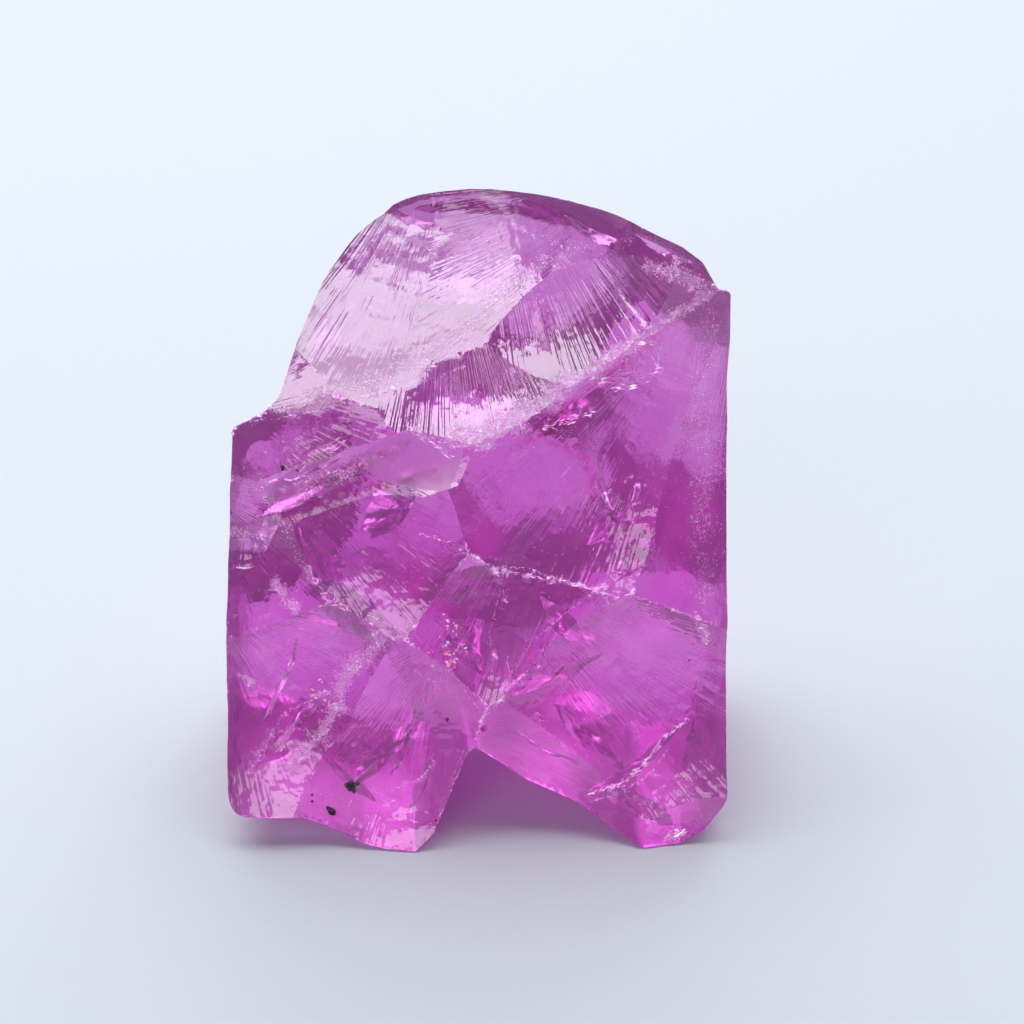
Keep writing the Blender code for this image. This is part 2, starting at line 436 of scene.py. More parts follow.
def cut(stone, other, operation="DIFFERENCE"):
    """One Boolean step of the stone, applied; the other object is used up."""
    bpy.context.view_layer.objects.active = stone
    step = stone.modifiers.new(other.name, "BOOLEAN")
    step.operation = operation
    step.solver = "MANIFOLD"
    step.object = other
    bpy.ops.object.modifier_apply(modifier=step.name)
    bpy.data.objects.remove(other)


def spaced(points, step):
    """The outline with more points, none further than a step from the next."""
    dense = []
    for start, end in zip(points, points[1:]):
        count = max(1, math.ceil((end - start).length / step))
        dense += [start.lerp(end, index / count) for index in range(count)]
    return dense + [points[-1]]


def build_blank():
    """The blank, its sides uneven by a little less than they could be seen to stand out."""
    points = [Vector((p.x, FRONT_START, p.y)) for p in spaced(rounded(OUTLINE), 0.5)]
    blank = prism("zircon", points, Vector((0.0, BACK_Y - FRONT_START, 0.0)), slices=36)
    rng = np.random.default_rng(SEED + 6)
    places = rest_points(blank.data)
    outward = read_all(blank.data.vertex_normals, "vector", 3) * np.array([1.0, 0.0, 1.0])
    coords = np.column_stack([places[:, 1], places[:, 0] * 0.8 + places[:, 2] * 0.6])
    sunk = 0.5 + waves(rng, coords, [(7.0, 0.30), (2.4, 0.18), (0.9, 0.06)])
    sunk = UNEVEN * np.clip(sunk, 0.0, 1.2)
    set_points(blank.data, places - outward * sunk[:, None])
    return blank


def build_rim_prism():
    """Everything under the rim, along a line that falls away behind it."""
    along = Vector((0.0, math.cos(RIM_FALL), -math.sin(RIM_FALL)))
    over = Vector((0.0, math.sin(RIM_FALL), math.cos(RIM_FALL)))
    corners = [(x, z * over.z + y * over.y, radius) for x, y, z, radius in RIM]
    points = [Vector((p.x, 0.0, 0.0)) + over * p.y for p in rounded(corners)]
    points.append(Vector((REACH, 0.0, 0.0)) + over * points[-1].dot(over))
    points.append(Vector((REACH, 0.0, 0.0)) - over * REACH)
    points.append(Vector((-REACH, 0.0, 0.0)) - over * REACH)
    points.append(Vector((-REACH, 0.0, 0.0)) + over * points[0].dot(over))
    points = [point - along * REACH for point in points]
    return prism("rim", points, along * REACH * 2)


def soften_crest(stone):
    """Rounds the crest under the dome, where the two sides meet in a soft sandy band."""
    make_active(stone)
    edit_all()
    bpy.ops.mesh.quads_convert_to_tris()
    bpy.ops.mesh.select_all(action="DESELECT")
    bpy.ops.object.mode_set(mode="OBJECT")
    ridges = sharp_points(stone)
    gap, _ = along_route(ridges, CREST)
    ridges = ridges[gap < CREST_SPREAD]
    tree = point_tree(ridges)
    places = rest_points(stone.data) - np.array(SHIFT)
    gap, _ = along_route(places, CREST)
    ends = read_all(stone.data.edges, "vertices", 2, np.int64)
    long_edges = np.linalg.norm(places[ends[:, 0]] - places[ends[:, 1]], axis=1) > LONG_EDGE
    fine = np.ones(len(places), dtype=bool)
    fine[ends[long_edges].ravel()] = False
    for index in np.nonzero((gap < CREST_ROUND * 2.5) & fine)[0]:
        if tree.find(places[index])[2] < CREST_ROUND:
            stone.data.vertices[int(index)].select = True
    bpy.ops.object.mode_set(mode="EDIT")
    bpy.ops.mesh.vertices_smooth(factor=0.5, repeat=60)
    bpy.ops.mesh.select_all(action="DESELECT")
    bpy.ops.object.mode_set(mode="OBJECT")


def build_stone():
    """The stone with all its dishes and chips, and the list of the chips."""
    rng = np.random.default_rng(SEED)
    stone = build_blank()
    cut(stone, build_rim_prism(), "INTERSECT")
    for name, spec in DISHES.items():
        cut(stone, plug(name, spec, rng))
    soften_crest(stone)
    chips = pick_chips(stone, rng)
    for group in chip_groups(chips):
        cut(stone, chip_cutter(group, rng))
    make_active(stone)
    step = stone.modifiers.new("triangles", "TRIANGULATE")
    bpy.ops.object.modifier_apply(modifier=step.name)
    places = rest_points(stone.data)
    places[:, 2] = np.minimum(places[:, 2], cad_box[1][2] / MM - TOP_GAP)
    set_points(stone.data, places)
    bpy.ops.object.shade_smooth_by_angle(angle=SMOOTH_ANGLE)
    return stone, chips


# The crest under the dome, from the left shoulder to the hollow.
CREST = [
    (-10.6, 0.9, 22.5), (-9.6, 1.0, 22.5), (-7.4, 1.1, 23.1), (-5.5, 1.7, 23.5),
    (-3.6, 2.2, 23.8), (-2.0, 2.7, 24.0), (-0.5, 3.2, 24.5),
]

# Crushed white ridges: half width and a route of X, Y, Z along the ridge.
RIDGES = {
    "belt": (0.07, [
        (-3.4, -1.5, 16.5), (-1.6, -2.0, 16.2), (-0.3, -2.4, 15.4), (0.9, -2.5, 15.0),
        (2.7, -2.3, 14.7), (4.2, -2.5, 14.2), (5.8, -2.7, 13.8), (7.7, -2.9, 13.6),
    ]),
    "belt_end": (0.04, [
        (7.7, -2.9, 13.6), (9.7, -3.1, 12.9), (11.3, -3.2, 12.4), (12.0, -3.4, 11.9),
    ]),
    "fork_right": (0.05, [
        (6.3, -2.8, 13.6), (5.0, -3.1, 12.7), (3.8, -3.4, 11.7), (2.7, -3.9, 10.7),
        (1.7, -4.6, 9.5), (1.1, -5.2, 8.5), (0.5, -5.6, 7.4),
    ]),
    "fork_left": (0.04, [
        (1.3, -2.6, 14.6), (1.0, -3.0, 13.3), (0.5, -3.7, 11.4), (0.7, -4.2, 10.1),
        (0.6, -5.2, 8.5), (0.4, -5.6, 7.4),
    ]),
    "brace": (0.06, [
        (-9.5, -2.2, 14.2), (-8.5, -2.9, 13.2), (-6.7, -3.1, 12.6), (-5.1, -3.6, 12.0),
        (-3.6, -4.0, 11.6),
    ]),
    "brace_end": (0.04, [
        (-3.6, -4.0, 11.6), (-1.6, -4.6, 9.7), (-0.5, -5.2, 8.0), (0.3, -5.6, 7.3),
    ]),
    "leg": (0.04, [(0.1, -5.7, 6.7), (-0.9, -5.9, 5.2), (-1.7, -6.5, 3.4), (-2.5, -7.4, 1.4)]),
    "crest": (0.06, [(-13.2, 0.5, 22.2), *CREST[1:]]),
    "ledge_foot": (0.05, [
        (5.4, 2.3, 24.2), (7.6, 2.5, 25.7), (9.7, 2.3, 27.3), (11.8, 2.0, 28.9),
        (12.5, 1.9, 29.4),
    ]),
}

# Frosted skin: strength, then X, Y, Z and half width along the middle of each band.
FROST = {
    "sandy_wall": (0.45, [
        (-12.3, 0.8, 22.5, 0.4), (-7.8, 1.6, 23.6, 0.7), (-4.3, 2.7, 24.3, 0.9),
        (-1.8, 3.6, 25.2, 1.0), (-0.3, 4.8, 26.5, 0.9), (0.9, 5.6, 27.6, 0.9),
        (3.1, 6.1, 29.1, 0.7), (5.3, 5.9, 30.2, 0.5), (8.1, 4.8, 31.1, 0.4),
    ]),
    "speckled_ledge": (0.95, [
        (-1.2, 0.5, 21.2, 0.9), (0.3, 0.7, 21.3, 1.0), (1.9, 1.3, 22.0, 0.9),
        (3.5, 1.8, 23.0, 0.8), (5.4, 2.3, 24.2, 0.7), (7.6, 2.5, 25.7, 0.5),
        (9.7, 2.3, 27.3, 0.4), (12.5, 1.9, 29.4, 0.3),
    ]),
    "ledge_corner": (0.8, [(-3.6, 0.5, 21.8, 0.4), (-1.6, -0.2, 20.6, 0.4)]),
    "crumbly_rim": (0.8, [(9.1, 3.7, 30.0, 0.5), (10.7, 2.2, 30.3, 0.7), (12.5, 1.9, 29.4, 0.5)]),
    "right_skin": (0.42, [
        (12.3, 2.0, 28.3, 0.9), (12.2, 1.7, 25.5, 1.3), (12.1, 1.1, 22.1, 1.6),
        (12.2, 0.2, 18.9, 1.7), (12.2, -1.1, 15.8, 1.6), (12.0, -2.7, 13.0, 1.0),
    ]),
    "left_leg_band": (0.85, [
        (-5.1, -3.9, 11.6, 0.5), (-6.8, -3.9, 9.9, 0.7), (-7.5, -4.1, 8.7, 0.7),
        (-8.0, -4.7, 7.1, 0.6), (-8.8, -5.2, 5.7, 0.5), (-10.6, -5.9, 4.2, 0.4),
    ]),
    "splinters": (0.6, [
        (-10.3, -0.7, 18.8, 0.7), (-8.1, -0.4, 19.3, 0.8), (-5.4, -0.1, 20.4, 0.6),
    ]),
    "left_sliver": (0.5, [
        (-11.8, -0.7, 18.9, 0.7), (-10.8, -1.2, 17.0, 0.5), (-10.0, -1.7, 15.5, 0.4),
        (-9.2, -2.3, 14.0, 0.3),
    ]),
    "left_star": (1.0, [(-11.2, -2.1, 13.6, 0.4), (-10.0, -2.8, 12.5, 0.4)]),
    "belt_tail": (0.9, [(11.9, -3.3, 12.2, 0.25), (12.4, -3.6, 10.9, 0.4)]),
    "foot_chip": (1.0, [(10.5, -7.4, 0.5, 0.3), (11.3, -7.3, 0.7, 0.35)]),
    "foot_scratch": (0.6, [(8.4, -4.7, 6.3, 0.25), (8.8, -5.0, 5.5, 0.35)]),
    "left_nick": (1.0, [(-13.3, -3.8, 8.9, 0.15), (-12.6, -3.9, 8.4, 0.25)]),
    "bright_nick": (1.0, [(-9.3, -4.2, 7.7, 0.2), (-8.3, -4.2, 8.0, 0.15)]),
    "left_seam": (0.6, [
        (-12.9, -6.2, 3.7, 0.15), (-12.0, -5.5, 4.9, 0.2), (-11.0, -4.6, 6.6, 0.15),
        (-9.2, -4.3, 7.6, 0.15),
    ]),
    "leg_flank": (0.6, [(-5.6, -6.5, 2.7, 0.15), (-3.3, -6.2, 3.5, 0.2), (-2.4, -5.9, 4.6, 0.15)]),
    "pit_brim": (0.7, [(-13.6, -1.2, 16.4, 0.35), (-11.8, -1.3, 16.2, 0.3)]),
}

# Milky places of the skin, and in splinter_sheen a painted sheen: strength, then X, Y, Z and half width
# along the middle of each.
HAZE = {
    "left_foot": (0.95, [(-11.0, -6.5, 3.0, 2.2), (-4.8, -6.8, 2.4, 2.6)]),
    "right_foot": (0.42, [(5.2, -6.5, 3.4, 1.8), (11.5, -6.2, 3.2, 2.8)]),
    "right_leg": (0.12, [(7.0, -4.5, 8.0, 2.4), (10.5, -3.6, 9.5, 2.0)]),
    "left_side": (0.05, [
        (-12.6, -2.8, 12.4, 1.2), (-12.6, -1.2, 15.6, 1.2), (-11.4, 0.0, 19.5, 1.2),
    ]),
    "upper_middle": (0.20, [(-1.5, -0.6, 18.4, 1.6), (5.0, 0.0, 19.2, 2.6)]),
    "rim_patch": (0.75, [(0.2, 8.9, 32.0, 0.3), (0.9, 8.7, 31.6, 0.7), (1.7, 8.1, 30.9, 0.5)]),
    # painted sheen: the splinters made whiter where they catch the light
    "splinter_sheen": (0.25, [(-9.0, -0.7, 18.6, 0.5), (-5.0, 0.0, 20.2, 0.6)]),
}

# Painted shade: deep crimson bands where the stone shows dark along its cracks and grooves and under
# the ledge; strength, then X, Y, Z and half width along the middle.
CRIMSON_SHADE_BANDS = {
    "splinter_high": (0.9, [
        (-11.2, -0.9, 18.3, 0.3), (-8.1, -0.4, 19.4, 0.4), (-5.2, -0.1, 20.6, 0.3),
    ]),
    "splinter_low": (0.9, [
        (-9.7, -1.0, 18.1, 0.2), (-5.4, -0.8, 18.9, 0.3), (-2.4, -0.5, 19.8, 0.2),
    ]),
    "wing_edge": (0.8, [(-2.2, -1.1, 19.8, 0.2), (-2.2, -1.8, 18.2, 0.2), (-2.6, -2.3, 17.0, 0.1)]),
    "under_ledge": (1.0, [
        (1.0, -0.9, 20.6, 0.2), (3.6, -0.3, 22.0, 0.4), (5.4, 0.4, 23.4, 0.6),
        (7.5, 1.2, 25.3, 0.6), (10.0, 1.9, 27.0, 0.3),
    ]),
    "hook": (1.0, [
        (3.3, -0.5, 21.7, 0.2), (5.2, -0.7, 21.1, 0.4), (6.2, -1.2, 19.8, 0.3),
        (6.2, -1.9, 18.1, 0.2), (5.7, -2.4, 16.9, 0.1),
    ]),
    "over_belt": (0.8, [(7.8, -2.7, 16.2, 0.25), (9.4, -3.0, 15.4, 0.25)]),
    "heart": (0.6, [(-3.4, -4.2, 11.2, 0.3), (-2.2, -4.3, 10.4, 0.5), (-0.6, -5.0, 8.6, 0.4)]),
}

# Pocked patches: middle, spread, number of chips and their smallest and largest radius.
POCKED = {
    "under_ledge": ((8.1, 2.0, 24.9), 0.95, 26, 0.16, 0.62),
    "under_scoop": ((5.0, 1.2, 22.1), 0.55, 10, 0.12, 0.40),
    "rim_end": ((10.9, 2.4, 30.2), 0.65, 16, 0.15, 0.45),
    "belt_knee": ((6.9, -2.8, 13.8), 0.40, 12, 0.12, 0.34),
    "scoop_corner": ((-2.2, 0.0, 21.0), 0.50, 9, 0.12, 0.34),
    "left_star": ((-10.9, -2.3, 13.2), 0.35, 8, 0.10, 0.28),
    "dome_left": ((-8.8, 6.4, 28.2), 0.40, 7, 0.15, 0.34),
    "splinter_end": ((-4.4, 0.0, 20.4), 0.45, 8, 0.12, 0.30),
    "foot_corner": ((10.9, -7.2, 0.7), 0.35, 7, 0.12, 0.32),
}


def facet_numbers(middles):
    """For each place, the number of the dish that it lies on, or -1."""
    best = np.full(len(middles), FACET_GAP)
    number = np.full(len(middles), -1)
    for index, spec in enumerate(DISHES.values()):
        if "stretch" in spec:
            continue
        centre = np.array(spec["lowest"] + spec["outward"] * spec["radius"])
        off = np.abs(np.linalg.norm(middles - centre, axis=1) - spec["radius"])
        closer = off < best
        best[closer] = off[closer]
        number[closer] = index
    return number


def along_route(places, route):
    """Each place's distance to a route, and the half width of the route where it is nearest."""
    nearest = np.full(len(places), np.inf)
    width = np.zeros(len(places))
    for start, end in zip(route, route[1:]):
        start, end = np.array(start), np.array(end)
        step = end - start
        share = (places - start[:3]) @ step[:3] / (step[:3] @ step[:3])
        share = np.clip(share, 0.0, 1.0)[:, None]
        on_route = start + share * step
        gap = np.linalg.norm(places - on_route[:, :3], axis=1)
        closer = gap < nearest
        nearest[closer] = gap[closer]
        if on_route.shape[1] == 4:
            width[closer] = on_route[closer, 3]
    return nearest, width


def sharp_points(stone):
    """The middles of the stone's sharp edges, in millimetres."""
    bm = bmesh.new()
    bm.from_mesh(stone.data)
    middles = np.array([
        tuple(edge_middle(edge))
        for edge in bm.edges
        if edge.is_manifold and edge.calc_face_angle() > RIDGE_ANGLE
    ])
    bm.free()
    return middles


def pick_chips(stone, rng):
    """Centres and radii of the small chips along the ridges and the sharp outer edges."""
    bm = bmesh.new()
    bm.from_mesh(stone.data)
    bm.normal_update()
    places, angles, outs = [], [], []
    for edge in bm.edges:
        if not edge.is_manifold or edge.calc_face_angle() < RIDGE_ANGLE or not edge.is_convex:
            continue
        places.append(tuple(edge_middle(edge)))
        angles.append(edge.calc_face_angle())
        outs.append(tuple((edge.link_faces[0].normal + edge.link_faces[1].normal).normalized()))
    bm.free()
    places, angles, outs = np.array(places), np.array(angles), np.array(outs)
    chips = []

    def chip(index, low, high, sink):
        radius = low * (high / low) ** rng.uniform(0.0, 1.0)
        centre = places[index] + outs[index] * radius * sink
        chips.append((centre, radius))

    for half_width, route in RIDGES.values():
        gap, _ = along_route(places, route)
        near = np.nonzero(gap < RIDGE_SEARCH)[0]
        low, high = (half_width * size for size in RIDGE_CHIP_SIZES)
        for index in rng.permutation(near)[:int(route_length(route) / RIDGE_CHIP_STEP)]:
            chip(index, low, high, rng.uniform(0.6, 0.9))
    skin = skin_tree(stone)
    for middle, spread, count, low, high in POCKED.values():
        for _ in range(count):
            spot, out = scatter(rng, skin, middle, spread)
            radius = low * (high / low) ** rng.uniform(0.0, 1.0)
            centre = np.array(spot / MM - SHIFT + out * radius * rng.uniform(0.55, 0.85))
            chips.append((centre, radius))
    outer = np.nonzero(angles > OUTER_ANGLE)[0]
    for index in rng.permutation(outer)[:OUTER_CHIPS]:
        chip(index, *OUTER_CHIP_SIZES, rng.uniform(0.6, 0.9))
    return chips


def chip_groups(chips):
    """The chips in groups, so that no two of a group touch."""
    groups = []
    for centre, radius in chips:
        for group in groups:
            if all(math.dist(centre, other) > (radius + size) * 1.05 for other, size in group):
                group.append((centre, radius))
                break
        else:
            groups.append([(centre, radius)])
    return groups


def chip_cutter(group, rng):
    """One object with a faceted ball for each chip of the group."""
    balls = []
    for centre, radius in group:
        deselect()
        bpy.ops.mesh.primitive_ico_sphere_add(
            subdivisions=1 if radius < 0.3 else 2,
            radius=radius * MM,
            location=(Vector(centre) + SHIFT) * MM,
            rotation=tuple(rng.uniform(0, math.tau, 3)),
        )
        ball = bpy.context.object
        places = rest_points(ball.data)
        set_points(ball.data, places * rng.uniform(0.7, 1.04, (len(places), 1)))
        balls.append(ball)
    return join(balls, "chips")


def chip_strength(places, chips):
    """CHIP_FROST on the walls of the small chips, and 0 elsewhere."""
    tree = point_tree(places)
    strength = np.zeros(len(places))
    for centre, radius in chips:
        for _, index, _ in tree.find_range(centre, radius * 1.03):
            strength[index] = CHIP_FROST
    return strength


def band_strength(places, bands, rng):
    """How frosted or milky each vertex is, from the listed bands with torn edges."""
    torn = waves(rng, places[:, [0, 2]], [(1.6, 0.25), (0.6, 0.2)], count=14)
    strength = np.zeros(len(places))
    for peak, route in bands.values():
        gap, half = along_route(places, route)
        inside = 1.25 - gap / np.maximum(half, 1e-6) + torn
        strength = np.maximum(strength, peak * np.clip(inside, 0.0, 1.0))
    return strength


def crimson_shade_strength(places, rng):
    """How much painted crimson shade each vertex gets: the bands of the front, at whatever depth its
    skin lies.
    """

    def lift(points):
        """The points moved onto the plane of the front, and how far that is."""
        depth = (np.array(face_point(0.0, 0.0)) - points) @ np.array(FRONT_OUT)
        return points + depth[:, None] * np.array(FRONT_OUT), depth

    bands = {}
    for name, (peak, route) in CRIMSON_SHADE_BANDS.items():
        route = np.array(route)
        level, _ = lift(route[:, :3])
        bands[name] = (peak, np.column_stack([level, route[:, 3]]))
    onto_front, depth = lift(places)
    return band_strength(onto_front, bands, rng) * (depth < CRIMSON_SHADE_DEPTH)


def set_mask(stone, name, values, domain="POINT"):
    """A number for each point or face, which the shaders read by its name."""
    layer = stone.data.attributes.new(name, "FLOAT", domain)
    layer.data.foreach_set("value", values.astype(np.float32))


def finish_surface(stone, chips):
    """Masks for the frosted places, the painted crimson shade and the matte places, and what set_grain
    adds.
    """
    rng = np.random.default_rng(SEED + 1)
    mesh = stone.data
    places = rest_points(mesh) - np.array(SHIFT)
    frost = np.maximum(band_strength(places, FROST, rng), chip_strength(places, chips))
    set_mask(stone, "frost", frost)
    set_mask(stone, "crimson_shade", crimson_shade_strength(places, rng))
    corners = read_all(mesh.polygons, "vertices", 3, np.int64)
    middles = places[corners].mean(axis=1)
    number = facet_numbers(middles)
    first_hidden = len(DISHES) - len(HIDDEN_DISHES)
    matte = np.where(number < 0, 1.0, np.where(number >= first_hidden, 0.55, 0.0))
    set_mask(stone, "matte", matte, "FACE")
    set_grain(stone, places[corners], number)
    mesh.polygons.foreach_set("material_index", np.zeros(len(mesh.polygons), dtype=np.int32))


def set_grain(stone, triangles, number):
    """A map that runs round each blow (U) and away from it (V) in millimetres, its strength
    and the milky places with the painted sheen of the splinters.
    """
    flat = triangles.reshape(-1, 3)
    face_of = np.repeat(number, 3)
    grain = flat[:, [0, 2]] * 0.3 + flat[:, [1, 1]] * 0.3
    streak = np.full(len(number), 0.15)
    for index, spec in enumerate(DISHES.values()):
        axes = np.array(spec["outward"].to_track_quat("Z", "Y").to_matrix())
        own = face_of == index
        away = (flat[own] - np.array(spec["blow"])) @ axes
        reach = np.hypot(away[:, 0], away[:, 1])
        centre = (np.array(spec["lowest"]) - np.array(spec["blow"])) @ axes
        turned = np.arctan2(away[:, 1], away[:, 0]) - math.atan2(centre[1], centre[0])
        turned = (turned + math.pi) % math.tau - math.pi
        grain[own, 0] = turned * math.hypot(centre[0], centre[1])
        grain[own, 1] = reach
        streak[number == index] = spec.get("streak", 0.28)
    middles = triangles.mean(axis=1)
    rng = np.random.default_rng(SEED + 5)
    patches = waves(rng, middles[:, [0, 2]], [(4.0, 0.35), (1.2, 0.2)])
    streak = streak * np.clip(0.75 + patches, 0.0, 1.0)
    wisps = grain.reshape(-1, 3, 2).mean(axis=1) * np.array([1.0, 0.12])
    wisps = waves(rng, wisps, [(1.3, 0.20), (0.5, 0.14)])
    wisps += waves(rng, middles[:, [0, 2]], [(5.0, 0.12)])
    haze = np.maximum(band_strength(middles, HAZE, rng), np.clip(wisps, 0.0, 0.28) * (number >= 0))
    set_mask(stone, "haze", haze, "FACE")
    layer = stone.data.uv_layers.new(name="grain")
    layer.data.foreach_set("uv", grain.astype(np.float32).ravel())
    set_mask(stone, "streak", streak, "FACE")


def new_material(name):
    """A material of this name with its nodes, its links and its shader."""
    material = bpy.data.materials.new(name)
    material.use_nodes = True
    nodes, links = material.node_tree.nodes, material.node_tree.links
    return material, nodes, links, nodes["Principled BSDF"]


def new_group(name, inputs, outputs):
    """An empty shader node group with these number sockets, and its two end nodes."""
    group = bpy.data.node_groups.new(name, "ShaderNodeTree")
    for label, value in inputs.items():
        socket = group.interface.new_socket(label, in_out="INPUT", socket_type="NodeSocketFloat")
        socket.default_value = value
    for label in outputs:
        group.interface.new_socket(label, in_out="OUTPUT", socket_type="NodeSocketFloat")
    return group, group.nodes.new("NodeGroupInput"), group.nodes.new("NodeGroupOutput")


def set_inputs(node, values):
    for label, value in values.items():
        node.inputs[label].default_value = value


def feed(links, socket, value):
    """Gives a socket a value of its own, or links another node's output to it."""
    if isinstance(value, bpy.types.NodeSocket):
        links.new(value, socket)
    else:
        socket.default_value = value


def math_node(nodes, links, operation, *values):
    """A math node; each value is a number or an output socket."""
    node = nodes.new("ShaderNodeMath")
    node.operation = operation
    for socket, value in zip(node.inputs, values):
        feed(links, socket, value)
    return node.outputs[0]


def noise_node(nodes, links, vector, scale, detail=2.0, roughness=0.5):
    node = nodes.new("ShaderNodeTexNoise")
    set_inputs(node, {"Scale": scale, "Detail": detail, "Roughness": roughness})
    links.new(vector, node.inputs["Vector"])
    return node.outputs["Fac"]


def map_node(nodes, links, value, from_min, from_max, to_min=0.0, to_max=1.0):
    node = nodes.new("ShaderNodeMapRange")
    set_inputs(node, {
        "From Min": from_min,
        "From Max": from_max,
        "To Min": to_min,
        "To Max": to_max,
    })
    links.new(value, node.inputs["Value"])
    return node.outputs["Result"]


def mix_node(nodes, links, factor, first, second):
    """A mix of two colours; each is a colour or an output socket."""
    node = nodes.new("ShaderNodeMix")
    node.data_type = "RGBA"
    for label, value in (("Factor", factor), ("A", first), ("B", second)):
        feed(links, node.inputs[label], value)
    return node.outputs["Result"]


def object_place(nodes):
    """Where a point of the surface lies on the object's own axes, in metres."""
    return nodes.new("ShaderNodeTexCoord").outputs["Object"]


def mask_node(nodes, name):
    node = nodes.new("ShaderNodeAttribute")
    node.attribute_name = name
    return node.outputs["Fac"]


# Noise scales to the metre, and the weights of the bump: lines are turned with the map "grain".
FINE_GRAIN = 9000.0
DENT_GRAIN = 900.0
DENT_WEIGHT = 2.4
LINE_SCALE = (6.0, 0.2, 1.0)
LINE_WEIGHT = 3.0

CLEAR_PINK = (0.88, 0.34, 0.83, 1.0)
MILKY_PINK = (0.95, 0.85, 0.97, 1.0)
# painted shade: the colour that the crimson bands mix into the stone where it shows dark
DEEP_CRIMSON_SHADE = (0.78, 0.07, 0.45, 1.0)
ABSORBED_PINK = (0.93, 0.0, 0.86, 1.0)
ABSORPTION = 85.0                     # to the metre


def worn_skin_group():
    """Frost and grain of the stone's skin.

    Speckle is 1 on the white grains and White also covers the milky places and the painted sheen;
    Roughness and Height go to the shader and the bump.
    """
    group, start, end = new_group(
        "worn_skin",
        {"Frost": 0.0, "Haze": 0.0, "Matte": 0.0, "Streak": 0.3, "Polish": 0.03},
        ("Speckle", "White", "Roughness", "Height"),
    )
    nodes, links = group.nodes, group.links
    place = object_place(nodes)
    frost = start.outputs["Frost"]
    grain = noise_node(nodes, links, place, FINE_GRAIN, 1.0, 0.7)
    threshold = map_node(nodes, links, frost, 0.0, 1.0, 0.72, 0.50)
    over = math_node(nodes, links, "SUBTRACT", grain, threshold)
    speckle = map_node(nodes, links, over, 0.0, 0.07)
    links.new(speckle, end.inputs["Speckle"])
    white = math_node(nodes, links, "MAXIMUM", speckle, start.outputs["Haze"])
    links.new(white, end.inputs["White"])
    matte = math_node(nodes, links, "MULTIPLY", start.outputs["Matte"], 0.45)
    blur = math_node(nodes, links, "MULTIPLY_ADD", frost, 0.28, start.outputs["Polish"])
    blur = math_node(nodes, links, "MAXIMUM", blur, matte)
    blur = math_node(nodes, links, "MULTIPLY_ADD", speckle, 0.25, blur)
    links.new(blur, end.inputs["Roughness"])
    cover = math_node(nodes, links, "MAXIMUM", frost, 0.03)
    height = math_node(nodes, links, "MULTIPLY", grain, cover)
    grain_map = nodes.new("ShaderNodeUVMap")
    grain_map.uv_map = "grain"
    scaled = nodes.new("ShaderNodeVectorMath")
    scaled.operation = "MULTIPLY"
    scaled.inputs[1].default_value = LINE_SCALE
    links.new(grain_map.outputs["UV"], scaled.inputs[0])
    lines = noise_node(nodes, links, scaled.outputs["Vector"], 1.0, 1.0, 0.7)
    lines = math_node(nodes, links, "MULTIPLY", lines, start.outputs["Streak"])
    height = math_node(nodes, links, "MULTIPLY_ADD", lines, LINE_WEIGHT, height)
    dents = noise_node(nodes, links, place, DENT_GRAIN)
    height = math_node(nodes, links, "MULTIPLY_ADD", dents, DENT_WEIGHT, height)
    links.new(height, end.inputs["Height"])
    return group


def zircon_material(group):
    """Absorbing clear crystal with the worn skin over it."""
    material, nodes, links, shader = new_material("clear_pink_zircon")
    shader.distribution = "GGX"
    set_inputs(shader, {
        "IOR": ZIRCON_IOR,
        "Transmission Weight": 0.88,
        "Coat Roughness": 0.55,
        "Coat IOR": 2.2,
    })
    skin = nodes.new("ShaderNodeGroup")
    skin.node_tree = group
    skin.inputs["Polish"].default_value = 0.075
    for label in ("Frost", "Haze", "Matte", "Streak"):
        links.new(mask_node(nodes, label.lower()), skin.inputs[label])
    torn = noise_node(nodes, links, object_place(nodes), 2200.0, 3.0, 0.6)
    torn = map_node(nodes, links, torn, 0.40, 0.56)
    # painted shade: deep crimson mixed into the colour along the cracks, grooves and under the ledge
    crimson_shade = math_node(nodes, links, "MULTIPLY", mask_node(nodes, "crimson_shade"), torn)
    colour = mix_node(nodes, links, skin.outputs["White"], CLEAR_PINK, MILKY_PINK)
    colour = mix_node(nodes, links, crimson_shade, colour, DEEP_CRIMSON_SHADE)
    links.new(colour, shader.inputs["Base Color"])
    links.new(skin.outputs["Speckle"], shader.inputs["Coat Weight"])
    links.new(skin.outputs["Roughness"], shader.inputs["Roughness"])
    bump = nodes.new("ShaderNodeBump")
    set_inputs(bump, {"Strength": 0.6, "Distance": 0.00006})
    links.new(skin.outputs["Height"], bump.inputs["Height"])
    links.new(bump.outputs["Normal"], shader.inputs["Normal"])
    absorb = nodes.new("ShaderNodeVolumeAbsorption")
    set_inputs(absorb, {"Color": ABSORBED_PINK, "Density": ABSORPTION})
    links.new(absorb.outputs["Volume"], nodes["Material Output"].inputs["Volume"])
    return material


